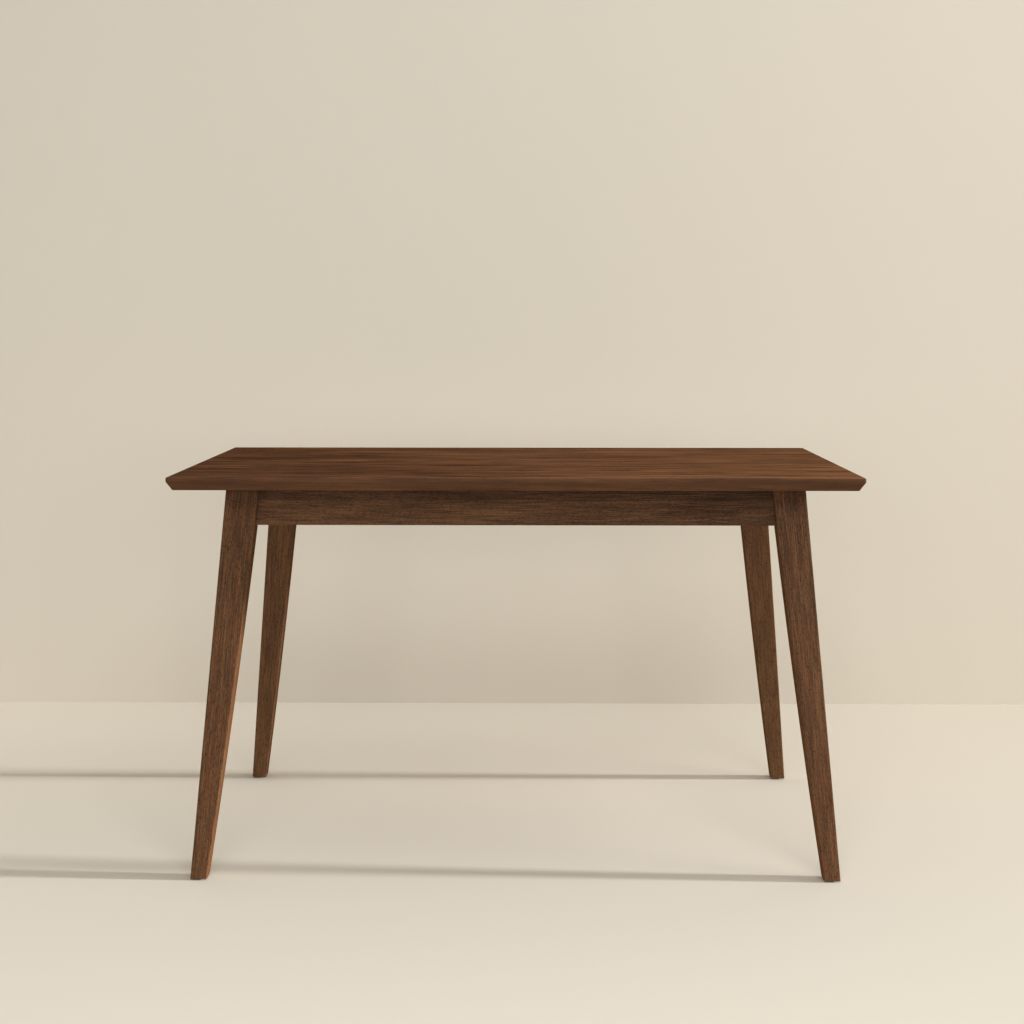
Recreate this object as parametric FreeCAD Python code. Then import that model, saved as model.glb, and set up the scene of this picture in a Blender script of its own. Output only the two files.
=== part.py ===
import FreeCAD, Part
import math
import os

# A dining table: a top of edge-glued boards with an undercut rim, on a frame of
# aprons and four tapered legs that splay both ways. Millimetres, floor at z = 0,
# the middle of the table at x = y = 0, the long side along X, the front at -Y.

# Whole table
table_length = 1295.0
table_depth = 800.0
table_height = 762.0

# Top
top_thickness = 25.0
undercut = 10.5
rim_drop = 8.5
top_arris_round = 4.0
rim_round = 4.0
lower_arris_round = 1.5
board_width_shares = (0.135, 0.15, 0.13, 0.155, 0.14, 0.16, 0.13)

# Legs: widths run along X and depths along Y, overhangs are measured at the leg's top
end_overhang = 102.0
side_overhang = 65.0
leg_width_top = 62.5
leg_width_foot = 30.5
leg_depth_top = 48.0
leg_depth_foot = 40.0
leg_splay_x_deg = 5.2
leg_splay_y_deg = 5.9
leg_bow = 3.0
leg_arris_round = 2.5
foot_ease = 0.8

# Aprons
apron_height = 71.5
apron_thickness = 22.0
apron_recess = 6.0
apron_arris_round = 1.5

# Cross rail, flat under the top
rail_width = 70.0
rail_thickness = 22.0
rail_arris_round = 1.5

# Corner blocks
block_thickness = 25.0
block_lift = 9.5
block_pull_gap = 1.5

# Dowels
dowel_radius = 4.0
dowel_length = 40.0
dowel_edge = 9.75
dowel_end_ease = 1.0
dowel_fit = 0.05
rail_dowel_in_apron = 13.0
rail_dowel_in_rail = 22.0
rail_dowel_edge = 15.0

# Hanger bolts, washers and nuts
bolt_radius = 4.0
bolt_grip = 38.0
bolt_tip = 6.0
bolt_tail = 4.0
bolt_end_ease = 0.8
bolt_hole_play = 0.5
thread_fit = 0.05
washer_radius = 8.0
washer_thickness = 1.6
washer_play = 0.4
nut_flats = 13.0
nut_height = 6.5
nut_ease = 0.9

# Screws
screw_radius = 2.1
screw_tip = 4.0
screw_head_radius = 4.0
screw_head_height = 2.6
screw_head_edge = 0.9
screw_recess_width = 0.9
screw_recess_span = 4.4
screw_recess_depth = 1.3
screw_hole_play = 0.4
top_bite = 13.0
apron_bite = 15.0
block_screw_inset = 10.5
seat_play = 0.75
seat_skin = 1.0

# Tabletop clips
clip_width = 19.0
clip_thickness = 2.0
clip_drop = 12.0
clip_tongue = 9.0
clip_flange = 18.0
clip_standoff = 1.0
clip_inner_bend = 0.5
clip_slot_play = 1.5
clip_slot_room = 3.0
clips_per_half_long_apron = 2
clips_per_half_short_apron = 1

# Rail screws and their slots
rail_screws_per_half = 2
rail_slot_travel = 5.0
rail_washer_radius = 7.0
rail_washer_thickness = 1.2

# Foot glides and nails
glide_radius = 11.0
glide_height = 2.5
glide_ease = 0.8
nail_radius = 1.2
nail_head_radius = 3.0
nail_head_height = 0.8
nail_head_set = 0.5
nail_bite = 14.0
nail_tip = 2.5

# Room at the blind end of a bored hole, and how far a cut runs past the wood that it cuts
hole_end_room = 1.0
overrun = 10.0

# Ends of an edge count as at a height when they are this share of the top's thickness from it
level_share = 0.001

# Places that follow from the sizes
underside = table_height - top_thickness
apron_bottom = underside - apron_height
apron_middle = underside - apron_height / 2
leg_outer_x = table_length / 2 - end_overhang
leg_outer_y = table_depth / 2 - side_overhang
long_apron_inner_y = leg_outer_y - apron_recess - apron_thickness
short_apron_inner_x = leg_outer_x - apron_recess - apron_thickness
dowel_offset = apron_height / 2 - dowel_edge
bolt_offset = dowel_offset / 2
reach = table_length

diagonal = FreeCAD.Vector(1, 1, 0)
diagonal.normalize()
quarters = {
    "front_left": (-1, -1),
    "front_right": (1, -1),
    "rear_left": (-1, 1),
    "rear_right": (1, 1),
}


def vec(x, y, z):
    return FreeCAD.Vector(x, y, z)


def box_between(low, high):
    size = high - low
    return Part.makeBox(size.x, size.y, size.z, low)


def placed(shape, point, direction):
    # A shape made along +Z is stood at a point and turned to a direction
    copy = shape.copy()
    copy.Placement = FreeCAD.Placement(point, FreeCAD.Rotation(vec(0, 0, 1), direction))
    return copy


def mirrored(shape, side_x, side_y):
    # The quarter at +X +Y is modelled, and the other three are its mirror images
    copy = shape
    if side_x < 0:
        copy = copy.mirror(vec(0, 0, 0), vec(1, 0, 0))
    if side_y < 0:
        copy = copy.mirror(vec(0, 0, 0), vec(0, 1, 0))
    return copy


def in_all_quarters(shapes):
    return [mirrored(shape, *side) for side in quarters.values() for shape in shapes]


def long_way_turned(shape):
    # From the X direction to the Y direction, about the middle of the table
    copy = shape.copy()
    copy.rotate(vec(0, 0, 0), vec(0, 0, 1), 90)
    return copy


def turned_solid(points):
    # Points of a half section, as distance from the axis and height
    outline = Part.makePolygon([vec(r, 0, z) for r, z in points + points[:1]])
    return Part.Face(outline).revolve(vec(0, 0, 0), vec(0, 0, 1), 360)


def level_rectangle(inset, height):
    half_length = table_length / 2 - inset
    half_depth = table_depth / 2 - inset
    corners = [(1, 1), (-1, 1), (-1, -1), (1, -1), (1, 1)]
    return Part.makePolygon([vec(half_length * x, half_depth * y, height) for x, y in corners])


def edges_at(shape, height):
    near = level_share * top_thickness
    return [e for e in shape.Edges if all(abs(v.Z - height) < near for v in e.Vertexes)]


# The whole top before it is divided into boards
def top_blank():
    rim_height = table_height - rim_drop
    rim = level_rectangle(0, rim_height)
    bevel = Part.makeLoft([level_rectangle(undercut, underside), rim], True, True)
    band = Part.makeLoft([rim, level_rectangle(0, table_height)], True, True)
    blank = bevel.fuse(band).removeSplitter()
    corners = [e for e in blank.Edges if abs(e.Vertexes[0].Z - e.Vertexes[-1].Z) > rim_drop / 2]
    blank = blank.makeFillet(rim_round, corners + edges_at(blank, rim_height))
    blank = blank.makeFillet(lower_arris_round, edges_at(blank, underside))
    return blank.makeFillet(top_arris_round, edges_at(blank, table_height))


def top_boards(blank, screw_holes):
    boards = []
    near_edge = -table_depth / 2
    for share in board_width_shares:
        far_edge = near_edge + share * table_depth
        low_y = near_edge if boards else near_edge - overrun
        is_last = len(boards) == len(board_width_shares) - 1
        high_y = far_edge + overrun if is_last else far_edge
        low = vec(-table_length / 2 - overrun, low_y, underside - overrun)
        high = vec(table_length / 2 + overrun, high_y, table_height + overrun)
        boards.append(blank.common(box_between(low, high)).cut(screw_holes))
        near_edge = far_edge
    return boards


# Legs: one outline seen from the front and one from the side, each with a straight
# outer line and an inner line that bows towards the middle of the table
def inner_arc(outer_top, splay_deg, width_top, width_foot):
    top = vec(outer_top - width_top, 0, underside)
    foot = vec(outer_reach_at(outer_top, splay_deg, 0) - width_foot, 0, 0)
    middle = (top + foot) / 2 - vec(leg_bow, 0, 0)
    return Part.Arc(top, middle, foot).toShape()


def reach_at(arc, height):
    # How far a bowed inner line stands from the middle of the table
    circle = arc.Curve
    return circle.Center.x - math.sqrt(circle.Radius ** 2 - (height - circle.Center.z) ** 2)


def outer_reach_at(outer_top, splay_deg, height):
    return outer_top + (underside - height) * math.tan(math.radians(splay_deg))


def arc_ends(arc):
    return vec(reach_at(arc, underside), 0, underside), vec(reach_at(arc, 0), 0, 0)


inner_x_arc = inner_arc(leg_outer_x, leg_splay_x_deg, leg_width_top, leg_width_foot)
inner_y_arc = inner_arc(leg_outer_y, leg_splay_y_deg, leg_depth_top, leg_depth_foot)


def through_prism(edges):
    # A face in the XZ plane pushed both ways, past everything
    face = Part.Face(Part.Wire(edges))
    face.translate(vec(0, -reach, 0))
    return face.extrude(vec(0, 2 * reach, 0))


def leg_prism(arc, outer_top, splay_deg):
    inner_top, inner_foot = arc_ends(arc)
    outer_top_point = vec(outer_top, 0, underside)
    outer_foot = vec(outer_reach_at(outer_top, splay_deg, 0), 0, 0)
    return through_prism([
        arc,
        Part.makeLine(inner_foot, outer_foot),
        Part.makeLine(outer_foot, outer_top_point),
        Part.makeLine(outer_top_point, inner_top),
    ])


def gap_prism(arc):
    # The space between a pair of legs, from the floor to the underside of the top
    right_top, right_foot = arc_ends(arc)
    left_top = vec(-right_top.x, 0, underside)
    left_foot = vec(-right_foot.x, 0, 0)
    return through_prism([
        arc,
        Part.makeLine(right_foot, left_foot),
        arc.mirror(vec(0, 0, 0), vec(1, 0, 0)),
        Part.makeLine(left_top, right_top),
    ])


def leg_blank():
    seen_from_front = leg_prism(inner_x_arc, leg_outer_x, leg_splay_x_deg)
    seen_from_side = long_way_turned(leg_prism(inner_y_arc, leg_outer_y, leg_splay_y_deg))
    blank = seen_from_front.common(seen_from_side)
    arrises = [e for e in blank.Edges if e.BoundBox.ZLength > underside / 2]
    blank = blank.makeFillet(leg_arris_round, arrises)
    below = box_between(vec(0, 0, -overrun), vec(reach, reach, glide_height))
    blank = blank.cut(below)
    return blank.makeFillet(foot_ease, edges_at(blank, glide_height))


# The flat on a leg's inner corner, where the bolts enter, is upright and square to
# the diagonal, and runs out at the height of the apron's lower edge
flat_sum = reach_at(inner_x_arc, apron_bottom) + reach_at(inner_y_arc, apron_bottom)
flat_skew = reach_at(inner_x_arc, apron_middle) - reach_at(inner_y_arc, apron_middle)
flat_centre = vec((flat_sum + flat_skew) / 2, (flat_sum - flat_skew) / 2, 0)
block_outer_sum = flat_sum - block_pull_gap * math.sqrt(2)
block_inner_sum = block_outer_sum - block_thickness * math.sqrt(2)


def flat_cutter():
    depth = reach / 2
    cutter = Part.makeBox(depth, 2 * depth, apron_height + 2 * overrun, vec(-depth, -depth, 0))
    cutter.rotate(vec(0, 0, 0), vec(0, 0, 1), 45)
    cutter.translate(flat_centre + vec(0, 0, apron_bottom - overrun))
    return cutter


def bolt_heights():
    return [apron_middle - bolt_offset, apron_middle + bolt_offset]


def along_bolt(distance, height):
    # A point on a bolt's line, by its distance from the leg's flat, outwards positive
    return flat_centre + diagonal * distance + vec(0, 0, height)


# Turned pieces, made along +Z
def eased_rod(radius, length, ease):
    return turned_solid([
        (0, 0),
        (radius - ease, 0),
        (radius, ease),
        (radius, length - ease),
        (radius - ease, length),
        (0, length),
    ])


def ring(outer, inner, height):
    return Part.makeCylinder(outer, height).cut(Part.makeCylinder(inner, height))


def hanger_bolt():
    # The machine thread starts at the nut's end, and the wood thread ends in a point
    stud = bolt_tail + nut_height + washer_thickness + block_thickness + block_pull_gap
    length = stud + bolt_grip
    points = [
        (0, 0),
        (bolt_radius - bolt_end_ease, 0),
        (bolt_radius, bolt_end_ease),
        (bolt_radius, length - bolt_tip),
        (0, length),
    ]
    return turned_solid(points), stud


def hex_nut():
    corner = nut_flats / math.sqrt(3)
    turns = [math.radians(60 * i) for i in range(7)]
    hexagon = Part.makePolygon([vec(corner * math.cos(turn), corner * math.sin(turn), 0) for turn in turns])
    prism = Part.Face(hexagon).extrude(vec(0, 0, nut_height))
    side = nut_ease / 2
    rounding = turned_solid([
        (0, 0),
        (corner - nut_ease, 0),
        (corner, side),
        (corner, nut_height - side),
        (corner - nut_ease, nut_height),
        (0, nut_height),
    ])
    bore = Part.makeCylinder(bolt_radius + thread_fit, nut_height)
    return prism.common(rounding).cut(bore)


def pan_screw(length):
    # The head's bearing face is at z = 0, and the point is up. The crown is part of a ball.
    rise = screw_head_height - screw_head_edge
    ball = (screw_head_radius ** 2 + rise ** 2) / (2 * rise)
    half_way = screw_head_radius / 2
    crown = Part.Arc(
        vec(0, 0, -screw_head_height),
        vec(half_way, 0, -screw_head_height + ball - math.sqrt(ball ** 2 - half_way ** 2)),
        vec(screw_head_radius, 0, -screw_head_edge),
    )
    points = [
        vec(screw_head_radius, 0, -screw_head_edge),
        vec(screw_head_radius, 0, 0),
        vec(screw_radius, 0, 0),
        vec(screw_radius, 0, length - screw_tip),
        vec(0, 0, length),
        vec(0, 0, -screw_head_height),
    ]
    half_section = Part.Face(Part.Wire([crown.toShape()] + Part.makePolygon(points).Edges))
    screw = half_section.revolve(vec(0, 0, 0), vec(0, 0, 1), 360)
    low = vec(-screw_recess_span / 2, -screw_recess_width / 2, -screw_head_height - overrun)
    high = vec(screw_recess_span / 2, screw_recess_width / 2, screw_recess_depth - screw_head_height)
    slot = box_between(low, high)
    return screw.cut(slot.fuse(long_way_turned(slot)))


# Corner blocks with their bolts and screws, for the quarter at +X +Y
def block_screw_places():
    # Each screw starts on a flat seat behind the block's slanted face
    seat_radius = screw_head_radius + seat_play
    along_x = block_outer_sum - long_apron_inner_y - block_screw_inset
    along_y = block_outer_sum - short_apron_inner_x - block_screw_inset
    seat_y = block_inner_sum - along_x + seat_radius + seat_skin
    seat_x = block_inner_sum - along_y + seat_radius + seat_skin
    return [
        (vec(along_x, seat_y, apron_middle), vec(0, 1, 0), long_apron_inner_y + apron_bite - seat_y),
        (vec(seat_x, along_y, apron_middle), vec(1, 0, 0), short_apron_inner_x + apron_bite - seat_x),
    ]


def corner_block():
    bottom = apron_bottom + block_lift
    plan = [
        (short_apron_inner_x, block_outer_sum - short_apron_inner_x),
        (block_outer_sum - long_apron_inner_y, long_apron_inner_y),
        (block_inner_sum - long_apron_inner_y, long_apron_inner_y),
        (short_apron_inner_x, block_inner_sum - short_apron_inner_x),
    ]
    outline = Part.makePolygon([vec(x, y, bottom) for x, y in plan + plan[:1]])
    block = Part.Face(outline).extrude(vec(0, 0, underside - bottom))
    for height in bolt_heights():
        hole = Part.makeCylinder(bolt_radius + bolt_hole_play, block_thickness + 2 * overrun)
        start = along_bolt(-block_pull_gap - block_thickness - overrun, height)
        block = block.cut(placed(hole, start, diagonal))
    seat_radius = screw_head_radius + seat_play
    for seat, direction, length in block_screw_places():
        mouth = Part.makeCylinder(seat_radius, block_thickness)
        block = block.cut(placed(mouth, seat - direction * block_thickness, direction))
        hole = Part.makeCylinder(screw_radius + screw_hole_play, length)
        block = block.cut(placed(hole, seat, direction))
    return block


def bolts_washers_nuts():
    bolt, stud = hanger_bolt()
    washer = ring(washer_radius, bolt_radius + washer_play, washer_thickness)
    nut = hex_nut()
    bolts, washers, nuts = [], [], []
    for height in bolt_heights():
        washer_start = -block_pull_gap - block_thickness - washer_thickness
        bolts.append(placed(bolt, along_bolt(-stud, height), diagonal))
        washers.append(placed(washer, along_bolt(washer_start, height), diagonal))
        nuts.append(placed(nut, along_bolt(washer_start - nut_height, height), diagonal))
    return bolts, washers, nuts


def leg_bolt_holes():
    hole = Part.makeCylinder(bolt_radius + thread_fit, bolt_grip + hole_end_room + overrun)
    return [placed(hole, along_bolt(-overrun, height), diagonal) for height in bolt_heights()]


# Dowels, for the quarter at +X +Y: where each one crosses its joint, and its direction
def apron_dowel_places():
    places = []
    for height in (apron_middle - dowel_offset, apron_middle + dowel_offset):
        long_joint = vec(reach_at(inner_x_arc, height), long_apron_inner_y + apron_thickness / 2, height)
        short_joint = vec(short_apron_inner_x + apron_thickness / 2, reach_at(inner_y_arc, height), height)
        places.append((long_joint, vec(1, 0, 0)))
        places.append((short_joint, vec(0, 1, 0)))
    return places


def dowel_solid(length, point, direction, before):
    return placed(eased_rod(dowel_radius, length, dowel_end_ease), point - direction * before, direction)


def dowel_hole(length, point, direction, before):
    hole = Part.makeCylinder(dowel_radius + dowel_fit, length + 2 * hole_end_room)
    return placed(hole, point - direction * (before + hole_end_room), direction)


def rail_dowel_places():
    # At the rail's +Y end
    height = underside - rail_thickness / 2
    across = rail_width / 2 - rail_dowel_edge
    return [(vec(x, long_apron_inner_y, height), vec(0, 1, 0)) for x in (-across, across)]


# Tabletop clips: each place is a point on an apron's inner face at the underside,
# with the direction that points away from the apron
def even_places(start, end, count):
    return [start + (end - start) * (i + 0.5) / count for i in range(count)]


def clip_places():
    block_end_x = block_inner_sum - long_apron_inner_y
    block_end_y = block_inner_sum - short_apron_inner_x
    places = []
    for side in (-1, 1):
        for x in even_places(rail_width / 2, block_end_x, clips_per_half_long_apron):
            places.append((vec(side * x, long_apron_inner_y, underside), vec(0, -1, 0)))
            places.append((vec(side * x, -long_apron_inner_y, underside), vec(0, 1, 0)))
        for y in even_places(0, block_end_y, clips_per_half_short_apron):
            places.append((vec(short_apron_inner_x, side * y, underside), vec(-1, 0, 0)))
            places.append((vec(-short_apron_inner_x, side * y, underside), vec(1, 0, 0)))
    return places


def at_clip(shape, place):
    # Clip shapes are made along +X, away from the apron, with the underside at z = 0
    point, direction = place
    copy = shape.copy()
    turn = math.degrees(math.atan2(direction.y, direction.x))
    copy.rotate(vec(0, 0, 0), vec(0, 0, 1), turn)
    copy.translate(point)
    return copy


def clip_flange_centre():
    return clip_standoff + clip_thickness + clip_flange / 2


def table_clip():
    riser_outer = clip_standoff + clip_thickness
    tongue_low = -clip_drop - clip_thickness
    profile = [
        (-clip_tongue, tongue_low),
        (riser_outer, tongue_low),
        (riser_outer, -clip_thickness),
        (riser_outer + clip_flange, -clip_thickness),
        (riser_outer + clip_flange, 0),
        (clip_standoff, 0),
        (clip_standoff, -clip_drop),
        (-clip_tongue, -clip_drop),
    ]
    outline = Part.makePolygon([vec(x, -clip_width / 2, z) for x, z in profile + profile[:1]])
    clip = Part.Face(outline).extrude(vec(0, clip_width, 0))

    def bends(x_low, z_low):
        near = level_share * top_thickness
        found = []
        for e in clip.Edges:
            ends = [(abs(v.X - x_low) < near and abs(v.Z - z_low) < near) for v in e.Vertexes]
            if all(ends):
                found.append(e)
        return found

    for x, z in ((riser_outer, -clip_thickness), (clip_standoff, -clip_drop)):
        clip = clip.makeFillet(clip_inner_bend, bends(x, z))
    for x, z in ((riser_outer, tongue_low), (clip_standoff, 0)):
        clip = clip.makeFillet(clip_inner_bend + clip_thickness, bends(x, z))
    hole_start = vec(clip_flange_centre(), 0, -clip_thickness)
    return clip.cut(Part.makeCylinder(screw_radius + screw_hole_play, clip_thickness, hole_start))


def clip_slot():
    half_length = clip_width / 2 + clip_slot_room
    low = vec(-clip_tongue - clip_slot_play, -half_length, -clip_drop - clip_thickness - clip_slot_play)
    high = vec(clip_standoff, half_length, -clip_drop)
    return box_between(low, high)


def clip_screw():
    screw = pan_screw(clip_thickness + top_bite)
    screw.translate(vec(clip_flange_centre(), 0, -clip_thickness))
    return screw


def clip_screw_hole():
    depth = top_bite + hole_end_room
    return Part.makeCylinder(screw_radius + thread_fit, depth, vec(clip_flange_centre(), 0, 0))


# Rail screws
def rail_screw_places():
    places = []
    for y in even_places(0, long_apron_inner_y, rail_screws_per_half):
        places.append(y)
        places.append(-y)
    return places


def rail_slot(y):
    # A slotted hole along Y, because the top moves with the seasons across its boards
    radius = screw_radius + screw_hole_play
    bottom = underside - rail_thickness - overrun
    height = rail_thickness + 2 * overrun
    half = rail_slot_travel / 2
    slot = box_between(vec(-radius, y - half, bottom), vec(radius, y + half, bottom + height))
    for end in (y - half, y + half):
        slot = slot.fuse(Part.makeCylinder(radius, height, vec(0, end, bottom)))
    return slot


def rail_screw_set():
    washers, screws, holes = [], [], []
    bearing = underside - rail_thickness - rail_washer_thickness
    for y in rail_screw_places():
        washer = ring(rail_washer_radius, screw_radius + screw_hole_play, rail_washer_thickness)
        washer.translate(vec(0, y, bearing))
        screw = pan_screw(rail_washer_thickness + rail_thickness + top_bite)
        screw.translate(vec(0, y, bearing))
        washers.append(washer)
        screws.append(screw)
        depth = top_bite + hole_end_room
        holes.append(Part.makeCylinder(screw_radius + thread_fit, depth, vec(0, y, underside)))
    return washers, screws, holes


# Foot glides, for the quarter at +X +Y
def foot_centre():
    outer_x = outer_reach_at(leg_outer_x, leg_splay_x_deg, glide_height)
    outer_y = outer_reach_at(leg_outer_y, leg_splay_y_deg, glide_height)
    inner_x = reach_at(inner_x_arc, glide_height)
    inner_y = reach_at(inner_y_arc, glide_height)
    return vec((outer_x + inner_x) / 2, (outer_y + inner_y) / 2, 0)


def foot_glide():
    disc = turned_solid([
        (0, 0),
        (glide_radius - glide_ease, 0),
        (glide_radius, glide_ease),
        (glide_radius, glide_height),
        (0, glide_height),
    ])
    recess_top = nail_head_set + nail_head_height
    disc = disc.cut(Part.makeCylinder(nail_head_radius + thread_fit, recess_top))
    disc = disc.cut(Part.makeCylinder(nail_radius + thread_fit, glide_height))
    disc.translate(foot_centre())
    return disc


def glide_nail():
    head_top = nail_head_set + nail_head_height
    tip = glide_height + nail_bite
    nail = turned_solid([
        (0, nail_head_set),
        (nail_head_radius, nail_head_set),
        (nail_head_radius, head_top),
        (nail_radius, head_top),
        (nail_radius, tip - nail_tip),
        (0, tip),
    ])
    nail.translate(foot_centre())
    return nail


def nail_hole():
    start = foot_centre() + vec(0, 0, glide_height)
    return Part.makeCylinder(nail_radius + thread_fit, nail_bite + hole_end_room, start)


# Frame members
def quarter_leg():
    leg = leg_blank().cut(flat_cutter())
    for point, direction in apron_dowel_places():
        leg = leg.cut(dowel_hole(dowel_length, point, direction, dowel_length / 2))
    for hole in leg_bolt_holes():
        leg = leg.cut(hole)
    return leg.cut(nail_hole())


def quarter_apron_holes():
    holes = []
    for point, direction in apron_dowel_places():
        holes.append(dowel_hole(dowel_length, point, direction, dowel_length / 2))
    for seat, direction, length in block_screw_places():
        pilot = Part.makeCylinder(screw_radius + thread_fit, length + hole_end_room)
        holes.append(placed(pilot, seat, direction))
    return holes


def apron_blank(inner_face, gap):
    # Modelled along X at +Y, between the legs of that side
    low = vec(-reach, inner_face, apron_bottom)
    high = vec(reach, inner_face + apron_thickness, underside)
    board = box_between(low, high).common(gap)
    long_edges = [e for e in edges_at(board, apron_bottom) if e.BoundBox.XLength > e.BoundBox.YLength]
    return board.makeFillet(apron_arris_round, long_edges)


def cross_rail():
    bottom = underside - rail_thickness
    low = vec(-rail_width / 2, -long_apron_inner_y, bottom)
    high = vec(rail_width / 2, long_apron_inner_y, underside)
    rail = box_between(low, high)
    long_edges = [e for e in edges_at(rail, bottom) if e.BoundBox.YLength > e.BoundBox.XLength]
    rail = rail.makeFillet(rail_arris_round, long_edges)
    for y in rail_screw_places():
        rail = rail.cut(rail_slot(y))
    return rail


def write_node(name, shapes):
    shape = shapes[0] if len(shapes) == 1 else Part.makeCompound(shapes)
    shape.exportStep("parts/" + name + ".step")
    solids = shape.Solids
    print(name, len(solids), "solids", round(sum(solid.Volume for solid in solids)), "mm3", shape.isValid())


os.makedirs("parts", exist_ok=True)

# Fasteners first, because the wood is bored from their places
clips = [at_clip(table_clip(), place) for place in clip_places()]
clip_screws = [at_clip(clip_screw(), place) for place in clip_places()]
clip_slots = Part.makeCompound([at_clip(clip_slot(), place) for place in clip_places()])
clip_screw_holes = [at_clip(clip_screw_hole(), place) for place in clip_places()]
rail_washers, rail_screws, rail_screw_holes = rail_screw_set()

boards = top_boards(top_blank(), Part.makeCompound(clip_screw_holes + rail_screw_holes))
for number, board in enumerate(boards, 1):
    write_node("top_board_" + str(number), [board])

leg = quarter_leg()
block = corner_block()
glide = foot_glide()
for quarter, side in quarters.items():
    write_node("leg_" + quarter, [mirrored(leg, *side)])
    write_node("corner_block_" + quarter, [mirrored(block, *side)])
    write_node("foot_glide_" + quarter, [mirrored(glide, *side)])

# Dowels between the rail and the long aprons, and the holes that they need
rail_dowel_length = rail_dowel_in_rail + rail_dowel_in_apron
rail_dowels = []
rail_dowel_holes = []
for point, direction in rail_dowel_places():
    dowel = dowel_solid(rail_dowel_length, point, direction, rail_dowel_in_rail)
    hole = dowel_hole(rail_dowel_length, point, direction, rail_dowel_in_rail)
    for side_y in (1, -1):
        rail_dowels.append(mirrored(dowel, 1, side_y))
        rail_dowel_holes.append(mirrored(hole, 1, side_y))
rail_cutters = Part.makeCompound(rail_dowel_holes)

apron_cutters = Part.makeCompound(in_all_quarters(quarter_apron_holes()))
long_apron = apron_blank(long_apron_inner_y, gap_prism(inner_x_arc))
short_apron = long_way_turned(apron_blank(short_apron_inner_x, gap_prism(inner_y_arc)))
aprons = {
    "long_apron_rear": long_apron,
    "long_apron_front": mirrored(long_apron, 1, -1),
    "short_apron_left": short_apron,
    "short_apron_right": mirrored(short_apron, -1, 1),
}
for name, blank in aprons.items():
    write_node(name, [blank.cut(apron_cutters).cut(clip_slots).cut(rail_cutters)])
write_node("cross_rail", [cross_rail().cut(rail_cutters)])

bolts, washers, nuts = bolts_washers_nuts()
block_screws = []
for seat, direction, length in block_screw_places():
    block_screws.append(placed(pan_screw(length), seat, direction))
apron_dowels = []
for point, direction in apron_dowel_places():
    apron_dowels.append(dowel_solid(dowel_length, point, direction, dowel_length / 2))

write_node("hanger_bolts", in_all_quarters(bolts))
write_node("bolt_washers", in_all_quarters(washers))
write_node("bolt_nuts", in_all_quarters(nuts))
write_node("block_screws", in_all_quarters(block_screws))
write_node("apron_dowels", in_all_quarters(apron_dowels))
write_node("rail_dowels", rail_dowels)
write_node("top_clips", clips)
write_node("clip_screws", clip_screws)
write_node("rail_washers", rail_washers)
write_node("rail_screws", rail_screws)
write_node("glide_nails", in_all_quarters([glide_nail()]))
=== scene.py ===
import math

import bmesh
import bpy
from mathutils import Matrix, Vector


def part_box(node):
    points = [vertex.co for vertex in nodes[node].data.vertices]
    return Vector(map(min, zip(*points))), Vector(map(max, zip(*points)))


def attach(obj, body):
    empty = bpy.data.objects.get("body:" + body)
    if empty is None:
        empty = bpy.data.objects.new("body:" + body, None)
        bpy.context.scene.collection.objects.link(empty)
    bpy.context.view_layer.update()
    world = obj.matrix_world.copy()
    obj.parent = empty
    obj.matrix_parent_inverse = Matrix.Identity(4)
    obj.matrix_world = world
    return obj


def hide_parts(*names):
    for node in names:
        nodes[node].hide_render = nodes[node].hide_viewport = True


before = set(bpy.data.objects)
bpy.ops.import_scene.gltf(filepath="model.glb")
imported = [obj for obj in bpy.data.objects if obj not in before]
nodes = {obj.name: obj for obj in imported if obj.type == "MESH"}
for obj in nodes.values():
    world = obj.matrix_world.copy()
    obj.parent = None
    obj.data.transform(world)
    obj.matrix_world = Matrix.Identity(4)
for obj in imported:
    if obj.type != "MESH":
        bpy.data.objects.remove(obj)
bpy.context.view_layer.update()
scene = bpy.context.scene
print("frame loaded:", len(nodes), "nodes")


def linear(hexColour):
    # sRGB hex to linear colour
    channels = [int(hexColour[i:i + 2], 16) / 255 for i in (1, 3, 5)]
    lifted = [c / 12.92 if c <= 0.04045 else ((c + 0.055) / 1.055) ** 2.4 for c in channels]
    return tuple(lifted) + (1.0,)


def addNode(tree, kind, settings=None, links=None):
    node = tree.nodes.new(kind)
    for key, value in (settings or {}).items():
        if key == "stops":
            stops = node.color_ramp.elements
            while len(stops) < len(value):
                stops.new(0.5)
            for stop, (place, colour) in zip(stops, value):
                stop.position = place
                stop.color = colour
        elif isinstance(key, str) and hasattr(node, key):
            setattr(node, key, value)
        else:
            node.inputs[key].default_value = value
    for key, source in (links or {}).items():
        tree.links.new(source, node.inputs[key])
    return node


def newMaterial(name):
    material = bpy.data.materials.new(name)
    material.use_nodes = True
    tree = material.node_tree
    tree.nodes.clear()
    return material, tree


# Camera, from the photograph's vanishing lines and the table's corners
cameraSettings = {
    "place": (0.03201, -3.80194, 1.05521),
    "yaw": 0.0111,
    "pitch": 0.1045,
    "roll": 0.0003,
    "focalPixels": 1850.46,
    "imagePixels": 1024,
    "sensor": 36.0,
}
cameraData = bpy.data.cameras.new("camera")
cameraData.sensor_width = cameraSettings["sensor"]
cameraData.lens = (
    cameraSettings["focalPixels"] * cameraSettings["sensor"] / cameraSettings["imagePixels"])
camera = bpy.data.objects.new("camera", cameraData)
camera.matrix_world = (
    Matrix.Translation(cameraSettings["place"])
    @ Matrix.Rotation(cameraSettings["yaw"], 4, "Z")
    @ Matrix.Rotation(math.pi / 2 - cameraSettings["pitch"], 4, "X")
    @ Matrix.Rotation(cameraSettings["roll"], 4, "Z")
)
scene.collection.objects.link(camera)
scene.camera = camera
print("camera placed")

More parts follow.
